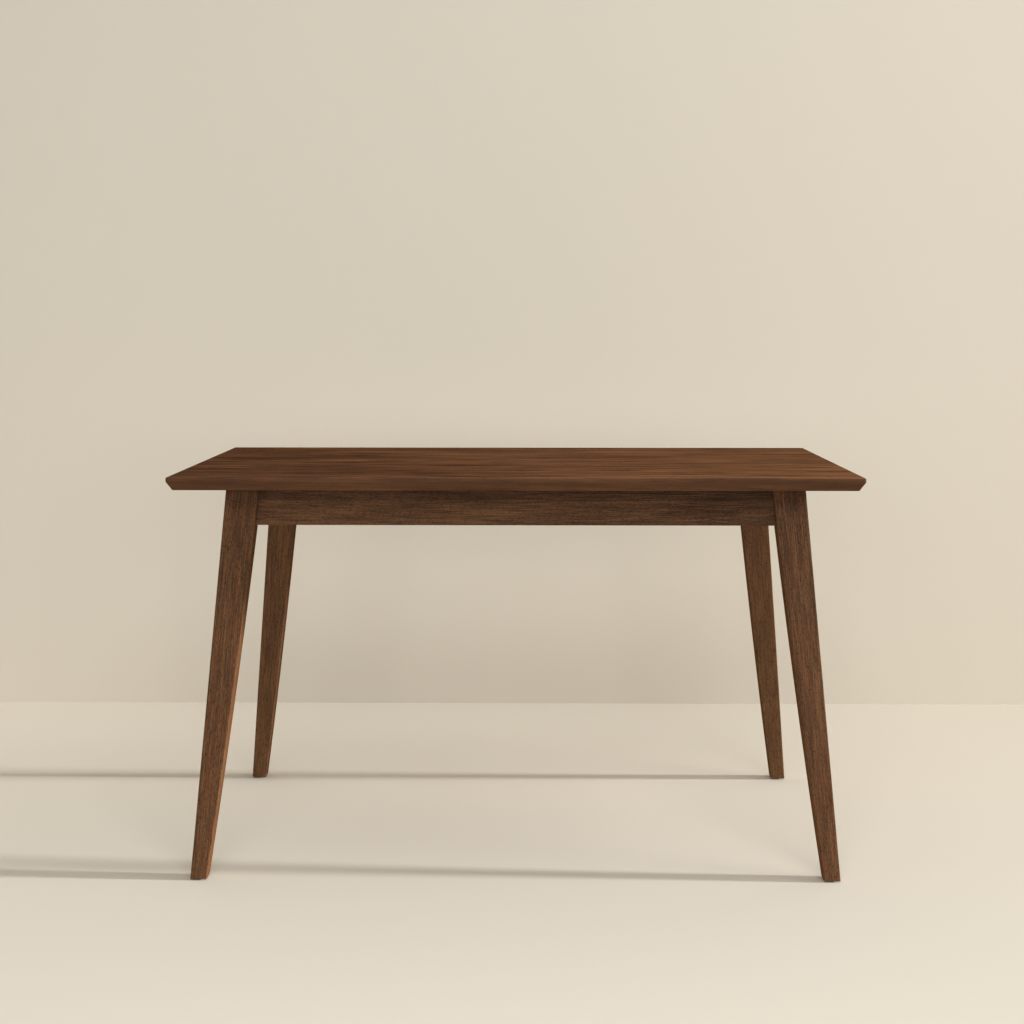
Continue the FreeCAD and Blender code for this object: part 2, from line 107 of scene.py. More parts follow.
# Stage, in matt paint with hardly any shine, which the camera sees through from behind
stageSettings = {
    "floorColour": "#DED6C7",
    "wallColour": "#E2DACB",
    "roughness": 0.9,
    "specular": 0.1,
    "wallDistance": 1.212,
    "floorHalf": 6.0,
    "wallHalf": 7.0,
    "wallHeight": 6.0,
}


def stageMaterial(name, colour):
    material, tree = newMaterial(name)
    surface = addNode(tree, "ShaderNodeBsdfPrincipled", {
        "Base Color": linear(colour),
        "Roughness": stageSettings["roughness"],
        "Specular IOR Level": stageSettings["specular"],
    })
    clear = addNode(tree, "ShaderNodeBsdfTransparent")
    side = addNode(tree, "ShaderNodeNewGeometry")
    mix = addNode(tree, "ShaderNodeMixShader", {}, {
        0: side.outputs["Backfacing"], 1: surface.outputs[0], 2: clear.outputs[0],
    })
    addNode(tree, "ShaderNodeOutputMaterial", {}, {"Surface": mix.outputs[0]})
    return material


def stagePlane(name, colour, transform):
    bm = bmesh.new()
    bmesh.ops.create_grid(bm, x_segments=1, y_segments=1, size=1.0)
    bm.transform(transform)
    mesh = bpy.data.meshes.new(name)
    bm.to_mesh(mesh)
    bm.free()
    mesh.materials.append(stageMaterial(name + "Paint", colour))
    plane = bpy.data.objects.new(name, mesh)
    scene.collection.objects.link(plane)


stagePlane(
    "floor", stageSettings["floorColour"],
    Matrix.Diagonal((stageSettings["floorHalf"], stageSettings["floorHalf"], 1, 1)))
stagePlane(
    "wall", stageSettings["wallColour"],
    Matrix.Translation((0, stageSettings["wallDistance"], stageSettings["wallHeight"] / 2))
    @ Matrix.Rotation(math.pi / 2, 4, "X")
    @ Matrix.Diagonal((stageSettings["wallHalf"], stageSettings["wallHeight"] / 2, 1, 1)))
print("stage built")

# Lamps: a low sun from the right, a broad softbox far behind the camera, one over the camera and one
# high on the right. The sky lights the table weakly, and is seen and mirrored as a pale room.
lampSettings = {
    "sunElevation": math.radians(12.7),
    "sunAzimuth": math.radians(1.75),  # from +X towards the front
    "sunSpread": math.radians(4.0),
    "sunStrength": 4.8,
    "sunDistance": 6.0,
    "skyColour": "#FFFFFF",
    "skyStrength": 0.28,
    "roomColour": "#D9D0BE",
    "roomStrength": 1.0,
    "softboxes": {
        "farSoftbox": {
            "place": (0.3, -9.0, 1.7), "target": (0, 0, 0.6), "size": (7.0, 2.6), "watts": 237.0},
        "overCamera": {
            "place": (0.4, -3.4, 3.2), "target": (0.1, -1.2, 0.0), "size": (2.5, 1.2), "watts": 56.0},
        "rightHigh": {
            "place": (2.8, -0.6, 3.4), "target": (0.7, 0.1, 0.76), "size": (1.4, 1.4), "watts": 24.0},
    },
}


def addLamp(name, kind, place, target, settings):
    data = bpy.data.lights.new(name, kind)
    for key, value in settings.items():
        setattr(data, key, value)
    lamp = bpy.data.objects.new(name, data)
    lamp.location = place
    lamp.rotation_euler = (Vector(target) - Vector(place)).to_track_quat("-Z", "Y").to_euler()
    lamp.visible_camera = False
    scene.collection.objects.link(lamp)


sunElevation, sunAzimuth = lampSettings["sunElevation"], lampSettings["sunAzimuth"]
towardsSun = Vector((
    math.cos(sunElevation) * math.cos(sunAzimuth),
    -math.cos(sunElevation) * math.sin(sunAzimuth),
    math.sin(sunElevation),
))
addLamp("lowSun", "SUN", towardsSun * lampSettings["sunDistance"], (0, 0, 0), {
    "energy": lampSettings["sunStrength"], "angle": lampSettings["sunSpread"],
})
for name, box in lampSettings["softboxes"].items():
    addLamp(name, "AREA", box["place"], box["target"], {
        "energy": box["watts"], "shape": "RECTANGLE",
        "size": box["size"][0], "size_y": box["size"][1],
    })

world = bpy.data.worlds.new("paleRoom")
world.use_nodes = True
scene.world = world
worldTree = world.node_tree
worldTree.nodes.clear()
rays = addNode(worldTree, "ShaderNodeLightPath")
seen = addNode(worldTree, "ShaderNodeMath", {"operation": "MAXIMUM"}, {
    0: rays.outputs["Is Camera Ray"], 1: rays.outputs["Is Glossy Ray"],
})
seenAll = addNode(worldTree, "ShaderNodeMath", {"operation": "MAXIMUM"}, {
    0: seen.outputs[0], 1: rays.outputs["Is Transmission Ray"],
})
lightSky = addNode(worldTree, "ShaderNodeBackground", {
    "Color": linear(lampSettings["skyColour"]), "Strength": lampSettings["skyStrength"],
})
shownSky = addNode(worldTree, "ShaderNodeBackground", {
    "Color": linear(lampSettings["roomColour"]), "Strength": lampSettings["roomStrength"],
})
skyMix = addNode(worldTree, "ShaderNodeMixShader", {}, {
    0: seenAll.outputs[0], 1: lightSky.outputs[0], 2: shownSky.outputs[0],
})
addNode(worldTree, "ShaderNodeOutputWorld", {}, {"Surface": skyMix.outputs[0]})
print("lamps set")

# Woods, each with its colours from dark to pale and its figure's sizes in metres:
# wander is how long, how wide and how far the fibres swing from side to side
# clouds, streaks and fibres are each a length, a width and a share of the tone
# rings are a width and a share
# pores are a length, a width, the noise at which they start, their depth and their softness
# blush is a colour, a length, a width and a depth
# roughness is that of the palest and that of the darkest wood
# Walnut's real pores are 0.2 mm wide, too fine to show, and are drawn about 1 mm wide.
woodLooks = {
    # American walnut, planed, sanded and oiled: brown with a red cast and soft streaks, and with
    # hardly any sheen
    "walnutTop": {
        "colours": ("#35241A", "#4B3223", "#5F412C", "#744F36", "#906543"),
        "pore": "#35241A",
        "wander": (0.55, 0.16, 0.014),
        "clouds": (0.34, 0.045, 0.34), "streaks": (0.11, 0.015, 0.29),
        "fibres": (0.055, 0.0012, 0.30), "rings": (0.009, 0.16),
        "pores": (0.009, 0.0011, 0.56, 0.50, 0.10),
        "blush": ("#84512F", 0.055, 0.010, 0.09),
        "roughness": (0.50, 0.66), "relief": 0.00012, "specular": 0.05,
    },
    # The same oiled walnut in straight frame pieces, where many short pores darken the grain
    "walnutFrame": {
        "colours": ("#2D1F17", "#422E1F", "#543A27", "#65472F", "#7E593A"),
        "pore": "#2A1E16",
        "wander": (0.60, 0.12, 0.005),
        "clouds": (0.14, 0.020, 0.15), "streaks": (0.10, 0.0030, 0.17),
        "fibres": (0.055, 0.0009, 0.54), "rings": (0.0055, 0.09),
        "pores": (0.0055, 0.0010, 0.530, 0.74, 0.09),
        "blush": ("#77442A", 0.040, 0.005, 0.16),
        "roughness": (0.54, 0.72), "relief": 0.0002, "specular": 0.08,
    },
    # Rubberwood, sawn and stained brown without a finish: matt, with a plain figure and open pores
    "rubberwood": {
        "colours": ("#463122", "#5B412B", "#6B4D33", "#7A593C", "#8E6B4B"),
        "pore": "#3B291C",
        "wander": (0.40, 0.10, 0.004),
        "clouds": (0.12, 0.030, 0.34), "streaks": (0.08, 0.006, 0.26),
        "fibres": (0.030, 0.0016, 0.26), "rings": (0.009, 0.22),
        "pores": (0.012, 0.0010, 0.58, 0.60, 0.10),
        "blush": ("#7F5636", 0.040, 0.006, 0.20),
        "roughness": (0.74, 0.88), "relief": 0.00025, "specular": 0.12,
    },
    # Beech, turned and left raw: pale pinkish tan with small brown flecks
    "beech": {
        "colours": ("#A5805A", "#B88F67", "#C79E73", "#D1AA80", "#DDBA92"),
        "pore": "#96704B",
        "wander": (0.40, 0.10, 0.002),
        "clouds": (0.06, 0.010, 0.30), "streaks": (0.04, 0.002, 0.26),
        "fibres": (0.020, 0.0008, 0.26), "rings": (0.0030, 0.22),
        "pores": (0.003, 0.0005, 0.60, 0.55, 0.10),
        "blush": ("#D6A27A", 0.020, 0.003, 0.25),
        "roughness": (0.70, 0.84), "relief": 0.0001, "specular": 0.25,
    },
}
# The front legs are of a lighter and redder walnut than the aprons
woodLooks["walnutLeg"] = dict(
    woodLooks["walnutFrame"],
    colours=("#2F2017", "#45301F", "#583C27", "#6B4A31", "#855C3C"),
    blush=("#7E4526", 0.050, 0.005, 0.24))

# What all the woods share. A pair gives where an effect begins and where it is full.
grainSettings = {
    "tones": (0.30, 0.42, 0.50, 0.58, 0.72),  # at which the five colours stand
    "middleTone": 0.50,
    "endGrainTone": 0.42,
    "endGrain": (0.25, 0.65),  # by the square of how far the face cuts across the grain
    "paintedLightSide": (0.60, 0.90),  # by how far the face looks that way
    "blush": (0.48, 0.70),  # by its noise
    "sheen": (0.38, 0.62),  # by the tone
    "glossFade": (0.50, 0.86),  # by how far the surface is seen edge on
    "poreCrowding": 0.35,  # how much pores keep to the darker wood
    "bumpStrength": 0.6,
    "ior": 1.5,
    "wanderNoise": {"Scale": 1.0, "Detail": 2.0},
    "figureNoise": {"Scale": 1.0, "Detail": 2.0, "Roughness": 0.55},
    "ringNoise": {"noise_dimensions": "1D", "Detail": 3.0, "Roughness": 0.62},
    "blushNoise": {"Scale": 1.0, "Detail": 2.0},
    "poreNoise": {"Scale": 1.0, "Detail": 1.0, "Roughness": 0.5},
}


def noiseScale(length, width):
    # Makes one unit of noise this long along the grain and this wide across it
    return 1 / length, 1 / width, 1 / width


def woodGrain(
        name, look, centre, along, face, shift, pith=(0.0, -0.06), taper=0.03,
        tone=0.0, toneAndLightSlope=0.0, edge=None, paintedLightSide=(0, 0, 0), patches=()):
    material, tree = newMaterial(name)
    coords = addNode(tree, "ShaderNodeTexCoord")

    # Object coordinates turned so that X runs along the grain and Z out of the face that shows,
    # then moved on along the grain, so that each piece has its own figure
    axisX = Vector(along).normalized()
    axisZ = (Vector(face) - axisX * axisX.dot(Vector(face))).normalized()
    turn = Matrix((axisX, axisZ.cross(axisX), axisZ)).transposed()
    grain = addNode(tree, "ShaderNodeMapping", {
        "vector_type": "TEXTURE", "Location": Vector(centre) - axisX * shift,
        "Rotation": turn.to_euler(),
    }, {"Vector": coords.outputs["Object"]})

    # The fibres wander a little from side to side
    wanderLength, wanderWidth, wanderReach = look["wander"]
    wanderSpace = addNode(tree, "ShaderNodeMapping", {
        "Scale": noiseScale(wanderLength, wanderWidth),
    }, {"Vector": grain.outputs[0]})
    wander = addNode(tree, "ShaderNodeTexNoise", grainSettings["wanderNoise"], {
        "Vector": wanderSpace.outputs[0],
    })
    bent = addNode(tree, "ShaderNodeVectorMath", {
        "operation": "MULTIPLY_ADD", 1: (0.0, wanderReach, wanderReach),
    }, {0: wander.outputs["Color"], 2: grain.outputs[0]})
    lengthwise = addNode(tree, "ShaderNodeSeparateXYZ", {}, {0: bent.outputs[0]})

    # Growth rings round a pith line that lies off the face and leans a little along the piece
    ringWidth, ringShare = look["rings"]
    crossSection = addNode(tree, "ShaderNodeVectorMath", {
        "operation": "MULTIPLY_ADD", 1: (0.0, 1.0, 1.0), 2: (0.0, -pith[0], -pith[1]),
    }, {0: bent.outputs[0]})
    radius = addNode(tree, "ShaderNodeVectorMath", {"operation": "LENGTH"}, {
        0: crossSection.outputs[0],
    })
    leaning = addNode(tree, "ShaderNodeMath", {"operation": "MULTIPLY_ADD", 1: taper}, {
        0: lengthwise.outputs[0], 2: radius.outputs["Value"],
    })
    rings = addNode(tree, "ShaderNodeTexNoise", {
        **grainSettings["ringNoise"], "Scale": 1 / ringWidth,
    }, {"W": leaning.outputs[0]})

    # The tone is the mean, a drift from one end of the piece to the other, and each pattern's share.
    # The drift is partly painted light: it brightens the top boards towards the right, where the low
    # light falls, and darkens the front legs towards the top, partly as painted shade under the
    # tabletop
    patterns = ("clouds", "streaks", "fibres")
    allShares = sum([ringShare] + [look[pattern][2] for pattern in patterns])
    figure = addNode(tree, "ShaderNodeMath", {
        "operation": "MULTIPLY_ADD", 1: toneAndLightSlope, 2: tone - toneAndLightSlope * shift,
    }, {0: lengthwise.outputs[0]})
    # Paler and darker patches: place along and across, half length, half width, tone, and the share
    # that has it in full
    for x, y, halfLength, halfWidth, patchTone, core in patches:
        scaled = addNode(tree, "ShaderNodeVectorMath", {
            "operation": "MULTIPLY_ADD", 1: (1 / halfLength, 1 / halfWidth, 0.0),
            2: (-(x + shift) / halfLength, -(y + wanderReach / 2) / halfWidth, 0.0),
        }, {0: bent.outputs[0]})
        distance = addNode(tree, "ShaderNodeVectorMath", {"operation": "LENGTH"}, {
            0: scaled.outputs[0],
        })
        patch = addNode(tree, "ShaderNodeMapRange", {
            "From Min": core, "From Max": 1.0, "To Min": patchTone, "To Max": 0.0,
        }, {0: distance.outputs["Value"]})
        figure = addNode(tree, "ShaderNodeMath", {"operation": "ADD"}, {
            0: figure.outputs[0], 1: patch.outputs[0],
        })
    # End grain drinks more oil and is darker
    lean = addNode(tree, "ShaderNodeVectorMath", {"operation": "DOT_PRODUCT", 1: axisX}, {
        0: coords.outputs["Normal"],
    })
    leanSquare = addNode(tree, "ShaderNodeMath", {"operation": "POWER", 1: 2.0}, {
        0: lean.outputs["Value"],
    })
    endGrain = addNode(tree, "ShaderNodeMapRange", {
        "From Min": grainSettings["endGrain"][0], "From Max": grainSettings["endGrain"][1],
        "To Min": grainSettings["middleTone"] - allShares / 2,
        "To Max": grainSettings["endGrainTone"] - allShares / 2,
    }, {0: leanSquare.outputs[0]})
    figure = addNode(tree, "ShaderNodeMath", {"operation": "ADD"}, {
        0: figure.outputs[0], 1: endGrain.outputs[0],
    })
    if any(paintedLightSide):
        # One side is painted paler, as painted light: the vector points to that side, and its length
        # is the tone
        side = addNode(tree, "ShaderNodeVectorMath", {
            "operation": "DOT_PRODUCT", 1: Vector(paintedLightSide).normalized(),
        }, {0: coords.outputs["Normal"]})
        paintedSideLight = addNode(tree, "ShaderNodeMapRange", {
            "From Min": grainSettings["paintedLightSide"][0], "From Max": grainSettings["paintedLightSide"][1],
            "To Min": 0.0, "To Max": Vector(paintedLightSide).length,
        }, {0: side.outputs["Value"]})
        figure = addNode(tree, "ShaderNodeMath", {"operation": "ADD"}, {
            0: figure.outputs[0], 1: paintedSideLight.outputs[0],
        })
    figure = addNode(tree, "ShaderNodeMath", {"operation": "MULTIPLY_ADD", 1: ringShare}, {
        0: rings.outputs[0], 2: figure.outputs[0],
    })
    for pattern in patterns:
        length, width, share = look[pattern]
        space = addNode(tree, "ShaderNodeMapping", {"Scale": noiseScale(length, width)}, {
            "Vector": bent.outputs[0],
        })
        noise = addNode(tree, "ShaderNodeTexNoise", grainSettings["figureNoise"], {
            "Vector": space.outputs[0],
        })
        figure = addNode(tree, "ShaderNodeMath", {"operation": "MULTIPLY_ADD", 1: share}, {
            0: noise.outputs[0], 2: figure.outputs[0],
        })
    if edge:
        # Between the planed faces the board's edge is plainer, with its own tone and drift. The
        # darker tone is partly painted shade on the undercut, which faces down, and the drift takes
        # back most of the boards' painted light drift
        upright = addNode(tree, "ShaderNodeVectorMath", {"operation": "DOT_PRODUCT", 1: axisZ}, {
            0: coords.outputs["Normal"],
        })
        uprightSquare = addNode(tree, "ShaderNodeMath", {"operation": "POWER", 1: 2.0}, {
            0: upright.outputs["Value"],
        })
        planed = addNode(tree, "ShaderNodeMapRange", {
            "From Min": edge["planed"][0], "From Max": edge["planed"][1],
            "To Min": 0.0, "To Max": 1.0,
        }, {0: uprightSquare.outputs[0]})
        drift = addNode(tree, "ShaderNodeMath", {
            "operation": "MULTIPLY_ADD", 1: edge["toneAndLightSlope"],
            2: edge["tone"] - edge["toneAndLightSlope"] * shift + (1 - edge["contrast"]) / 2,
        }, {0: lengthwise.outputs[0]})
        edgeToneAndShade = addNode(tree, "ShaderNodeMath", {"operation": "MULTIPLY_ADD", 1: edge["contrast"]}, {
            0: figure.outputs[0], 2: drift.outputs[0],
        })
        figure = addNode(tree, "ShaderNodeMix", {"data_type": "FLOAT"}, {
            0: planed.outputs[0], 2: edgeToneAndShade.outputs[0], 3: figure.outputs[0],
        })
    colour = addNode(tree, "ShaderNodeValToRGB", {
        "stops": [(place, linear(c)) for place, c in zip(grainSettings["tones"], look["colours"])],
    }, {0: figure.outputs[0]})

    # Some of the grain blushes red
    blush, blushLength, blushWidth, blushDepth = look["blush"]
    blushSpace = addNode(tree, "ShaderNodeMapping", {
        "Scale": noiseScale(blushLength, blushWidth),
    }, {"Vector": bent.outputs[0]})
    blushNoise = addNode(tree, "ShaderNodeTexNoise", grainSettings["blushNoise"], {
        "Vector": blushSpace.outputs[0],
    })
    blushHere = addNode(tree, "ShaderNodeMapRange", {
        "From Min": grainSettings["blush"][0], "From Max": grainSettings["blush"][1],
        "To Min": 0.0, "To Max": blushDepth,
    }, {0: blushNoise.outputs[0]})
    colour = addNode(tree, "ShaderNodeMix", {"data_type": "RGBA", 7: linear(blush)}, {
        0: blushHere.outputs[0], 6: colour.outputs[0],
    })

    # Pores are short dark dashes, more of them in the darker wood
    poreLength, poreWidth, poreStart, poreDepth, poreSoftness = look["pores"]
    poreStart -= grainSettings["poreCrowding"] / 2
    poreSpace = addNode(tree, "ShaderNodeMapping", {
        "Scale": noiseScale(poreLength, poreWidth),
    }, {"Vector": bent.outputs[0]})
    poreNoise = addNode(tree, "ShaderNodeTexNoise", grainSettings["poreNoise"], {
        "Vector": poreSpace.outputs[0],
    })
    poreHere = addNode(tree, "ShaderNodeMath", {
        "operation": "MULTIPLY_ADD", 1: -grainSettings["poreCrowding"],
    }, {0: figure.outputs[0], 2: poreNoise.outputs[0]})
    pores = addNode(tree, "ShaderNodeMapRange", {
        "From Min": poreStart, "From Max": poreStart + poreSoftness,
        "To Min": 0.0, "To Max": poreDepth,
    }, {0: poreHere.outputs[0]})
    if edge:
        # The edge shows fewer of them
        poresLeft = addNode(tree, "ShaderNodeMapRange", {"To Min": edge["pores"], "To Max": 1.0}, {
            0: planed.outputs[0],
        })
        pores = addNode(tree, "ShaderNodeMath", {"operation": "MULTIPLY"}, {
            0: pores.outputs[0], 1: poresLeft.outputs[0],
        })
    wood = addNode(tree, "ShaderNodeMix", {"data_type": "RGBA", 7: linear(look["pore"])}, {
        0: pores.outputs[0], 6: colour.outputs[2],
    })

    # Open pores and dark wood are duller, and the sheen is gone where the surface is seen edge on
    sheen = addNode(tree, "ShaderNodeMapRange", {
        "From Min": grainSettings["sheen"][0], "From Max": grainSettings["sheen"][1],
        "To Min": look["roughness"][1], "To Max": look["roughness"][0],
    }, {0: figure.outputs[0]})
    edgeOn = addNode(tree, "ShaderNodeLayerWeight", {"Blend": 0.5})
    gloss = addNode(tree, "ShaderNodeMapRange", {
        "From Min": grainSettings["glossFade"][0], "From Max": grainSettings["glossFade"][1],
        "To Min": look["specular"], "To Max": 0.0,
    }, {0: edgeOn.outputs["Facing"]})
    # The relief is the fibres' noise, the last of the patterns, with the pores sunk into it
    relief = addNode(tree, "ShaderNodeMath", {"operation": "SUBTRACT"}, {
        0: noise.outputs[0], 1: pores.outputs[0],
    })
    bump = addNode(tree, "ShaderNodeBump", {
        "Strength": grainSettings["bumpStrength"], "Distance": look["relief"],
    }, {"Height": relief.outputs[0]})
    surface = addNode(tree, "ShaderNodeBsdfPrincipled", {"IOR": grainSettings["ior"]}, {
        "Base Color": wood.outputs[2], "Roughness": sheen.outputs[0], "Normal": bump.outputs[0],
        "Specular IOR Level": gloss.outputs[0],
    })
    addNode(tree, "ShaderNodeOutputMaterial", {}, {"Surface": surface.outputs[0]})
    return material


# Top boards: how far the pith lies to the side of and under each board and how much it leans, the
# board's tone and its drift along the board, which is painted light that brightens the boards towards
# the right where the low light falls, and how far along the noise its figure begins
boardFigures = {
    "top_board_1": {
        "pith": (0.020, -0.050), "taper": 0.030, "tone": 0.000, "toneAndLightSlope": 0.10, "shift": 1.7,
        "patches": (
            (0.0, -0.042, 3.0, 0.020, 0.026, 0.4),
            (0.0, -0.008, 3.0, 0.016, 0.026, 0.4),
            (0.25, -0.030, 0.42, 0.030, 0.015, 0.6),
            (0.60, 0.015, 0.14, 0.038, 0.030, 0.6),
        )},
    "top_board_2": {
        "pith": (-0.045, -0.080), "taper": -0.040, "tone": 0.000, "toneAndLightSlope": 0.10, "shift": 5.1},
    "top_board_3": {
        "pith": (0.010, -0.045), "taper": 0.025, "tone": -0.008, "toneAndLightSlope": 0.10, "shift": 8.3},
    "top_board_4": {
        "pith": (0.060, -0.090), "taper": 0.035, "tone": 0.004, "toneAndLightSlope": 0.06, "shift": 12.9},
    "top_board_5": {
        "pith": (-0.015, -0.055), "taper": -0.030, "tone": -0.010, "toneAndLightSlope": 0.07, "shift": 16.2},
    "top_board_6": {
        "pith": (0.030, -0.070), "taper": 0.020, "tone": 0.006, "toneAndLightSlope": 0.06, "shift": 20.4,
        "patches": ((0.575, 0.008, 0.070, 0.040, 0.030, 0.6),)},
    "top_board_7": {
        "pith": (-0.050, -0.060), "taper": -0.025, "tone": -0.004, "toneAndLightSlope": 0.05, "shift": 24.8},
}
# The edge's darker tone is partly painted shade on the undercut, which faces down
topEdge = {"tone": -0.066, "toneAndLightSlope": -0.055, "contrast": 0.4, "pores": 0.35, "planed": (0.30, 0.90)}
for name, figure in boardFigures.items():
    low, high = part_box(name)
    centre = ((low.x + high.x) / 2, (low.y + high.y) / 2, high.z)
    nodes[name].data.materials[0] = woodGrain(
        "walnutTop" + name[-1], woodLooks["walnutTop"], centre, (1, 0, 0), (0, 0, 1),
        edge=topEdge, **figure)

# Legs, with the grain along their straight outer faces. The line is that of their outer corner.
legLine = {"top": (0.5455, 0.3350, 0.737), "foot": (0.6126, 0.4112, 0.0)}
legFigures = {
    # The front legs' drift darkens them towards the top, partly painted shade under the tabletop, and
    # each front leg's inner side is painted paler as painted light
    "leg_front_left": {
        "pith": (0.030, -0.040), "taper": 0.022, "tone": 0.010, "toneAndLightSlope": -0.08, "shift": 31.0,
        "paintedLightSide": (0.06, 0, 0)},
    "leg_front_right": {
        "pith": (-0.004, -0.034), "taper": -0.035, "tone": 0.006, "toneAndLightSlope": -0.08, "shift": 35.6,
        "paintedLightSide": (-0.08, 0, 0),
        "patches": (
            (0.372, 0.025, 0.060, 0.026, -0.070, 0.4),
            (0.12, 0.012, 0.27, 0.008, 0.035, 0.5),
            (-0.05, 0.0, 0.13, 0.050, 0.024, 0.3),
        )},
    "leg_rear_left": {
        "pith": (-0.035, -0.030), "taper": 0.025, "tone": 0.076, "toneAndLightSlope": -0.01, "shift": 40.9},
    "leg_rear_right": {
        "pith": (0.025, -0.045), "taper": 0.030, "tone": 0.090, "toneAndLightSlope": -0.01, "shift": 44.3},
}
for name, figure in legFigures.items():
    sideX = -1 if name.endswith("left") else 1
    sideY = -1 if "front" in name else 1
    top, foot = (Vector((x * sideX, y * sideY, z)) for x, y, z in (legLine["top"], legLine["foot"]))
    look = woodLooks["walnutLeg" if "front" in name else "walnutFrame"]
    nodes[name].data.materials[0] = woodGrain(
        "walnutLeg" + name[3:], look, (top + foot) / 2, top - foot, (0, -1, 0), **figure)

# Aprons. The dark strip along the front one's upper edge is painted shadow of the tabletop's
# overhang, and its darker left end is painted shade next to the leg
apronFigures = {
    "long_apron_front": {
        "pith": (0.010, -0.050), "taper": 0.020, "tone": 0.001, "toneAndLightSlope": -0.07, "shift": 51.0,
        "patches": (
            # painted shadow of the tabletop's overhang, as a dark strip along the upper edge
            (0.0, 0.036, 6.0, 0.0257, -0.060, 0.93),
            # painted shade, darker towards the left leg
            (-0.500, 0.0, 0.045, 0.080, -0.045, 0.2),
            (-0.190, -0.012, 0.110, 0.050, -0.020, 0.3),
            (0.370, -0.012, 0.120, 0.050, -0.016, 0.3),
        )},
    "long_apron_rear": {"pith": (-0.020, -0.060), "taper": 0.025, "shift": 55.4},
    "short_apron_left": {"pith": (0.015, -0.050), "taper": 0.030, "shift": 60.2},
    "short_apron_right": {"pith": (-0.010, -0.055), "taper": -0.030, "shift": 64.7},
}
for name, figure in apronFigures.items():
    low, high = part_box(name)
    along, face = ((1, 0, 0), (0, -1, 0)) if name.startswith("long") else ((0, 1, 0), (1, 0, 0))
    nodes[name].data.materials[0] = woodGrain(
        "walnutApron" + name[-6:], woodLooks["walnutFrame"], (low + high) / 2, along, face, **figure)

# Stained pieces inside, where the rail's grain runs from apron to apron and each block's across its
# corner, and raw dowels
insideFigures = {
    "rail": {"pith": (0.02, -0.05), "taper": 0.02, "shift": 70.3},
    "block": {"pith": (0.01, -0.04), "taper": 0.03},
    "blockShift": 75.1,
    "blockStep": 3.7,
    "dowelShift": 90.0,
    "dowelHeight": 0.7,  # where their grain is centred
}
low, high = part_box("cross_rail")
nodes["cross_rail"].data.materials[0] = woodGrain(
    "stainedRail", woodLooks["rubberwood"], (low + high) / 2, (0, 1, 0), (0, 0, -1),
    **insideFigures["rail"])
corners = {"front_left": (-1, -1), "front_right": (1, -1), "rear_left": (-1, 1), "rear_right": (1, 1)}
for number, (corner, (sideX, sideY)) in enumerate(corners.items()):
    name = "corner_block_" + corner
    low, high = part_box(name)
    nodes[name].data.materials[0] = woodGrain(
        "stainedBlock_" + corner, woodLooks["rubberwood"], (low + high) / 2,
        (sideX, -sideY, 0), (-sideX, -sideY, 0),
        insideFigures["blockShift"] + insideFigures["blockStep"] * number, **insideFigures["block"])
for name, along in (("apron_dowels", (1, 0, 0)), ("rail_dowels", (0, 1, 0))):
    nodes[name].data.materials[0] = woodGrain(
        "raw_" + name, woodLooks["beech"], (0, 0, insideFigures["dowelHeight"]), along, (0, 0, 1),
        insideFigures["dowelShift"])
print("woods finished")

# Zinc plated steel, tumbled in its bath: bright and a little blue, with a thin passivation bloom that
# shifts to yellow in patches, and fine dents from the other pieces, drawn 0.6 mm wide
zincLook = {
    "bright": "#B3B6B9", "bloom": "#A9A893",
    "bloomSize": 0.009, "bloomDetail": 3.0, "bloomSpan": (0.42, 0.66),
    "dentSize": 0.0006, "dentDetail": 2.0, "dentDepth": 0.00002, "dentStrength": 0.5,
    "roughness": (0.26, 0.44), "dullSpan": (0.35, 0.65),
}
zinc, tree = newMaterial("zincPlatedSteel")
coords = addNode(tree, "ShaderNodeTexCoord")
bloom = addNode(tree, "ShaderNodeTexNoise", {
    "Scale": 1 / zincLook["bloomSize"], "Detail": zincLook["bloomDetail"],
}, {"Vector": coords.outputs["Object"]})
dents = addNode(tree, "ShaderNodeTexNoise", {
    "Scale": 1 / zincLook["dentSize"], "Detail": zincLook["dentDetail"],
}, {"Vector": coords.outputs["Object"]})
plating = addNode(tree, "ShaderNodeValToRGB", {"stops": [
    (zincLook["bloomSpan"][0], linear(zincLook["bright"])),
    (zincLook["bloomSpan"][1], linear(zincLook["bloom"])),
]}, {0: bloom.outputs[0]})
dullness = addNode(tree, "ShaderNodeMapRange", {
    "From Min": zincLook["dullSpan"][0], "From Max": zincLook["dullSpan"][1],
    "To Min": zincLook["roughness"][0], "To Max": zincLook["roughness"][1],
}, {0: bloom.outputs[0]})
bump = addNode(tree, "ShaderNodeBump", {
    "Strength": zincLook["dentStrength"], "Distance": zincLook["dentDepth"],
}, {"Height": dents.outputs[0]})
surface = addNode(tree, "ShaderNodeBsdfPrincipled", {"Metallic": 1.0}, {
    "Base Color": plating.outputs[0], "Roughness": dullness.outputs[0], "Normal": bump.outputs[0],
})
addNode(tree, "ShaderNodeOutputMaterial", {}, {"Surface": surface.outputs[0]})
for name in (
        "hanger_bolts", "bolt_washers", "bolt_nuts", "block_screws", "top_clips", "clip_screws",
        "rail_washers", "rail_screws", "glide_nails"):
    nodes[name].data.materials[0] = zinc

# The hanger bolts get their threads, in millimetres along each bolt from the nut's end to the point.
# An outline gives the radius over one turn of the thread.
boltSettings = {
    "length": 76.6, "stud": 38.6, "radius": 4.0,
    "joint": 0.5, "ease": 0.8, "point": 6.0, "blunt": 0.3,
    "machine": {
        "pitch": 1.25,
        "outline": ((3.32, 0.0), (3.32, 0.16), (4.0, 0.46), (4.0, 0.60), (3.32, 0.90), (3.32, 1.0)),
    },
    "wood": {
        "pitch": 3.0,
        "outline": ((2.75, 0.0), (2.75, 0.30), (4.0, 0.55), (4.0, 0.62), (2.75, 0.80), (2.75, 1.0)),
    },
    "segments": 24, "mergeDistance": 0.005, "cutTolerance": 0.0001, "sharpAngle": 28,
}


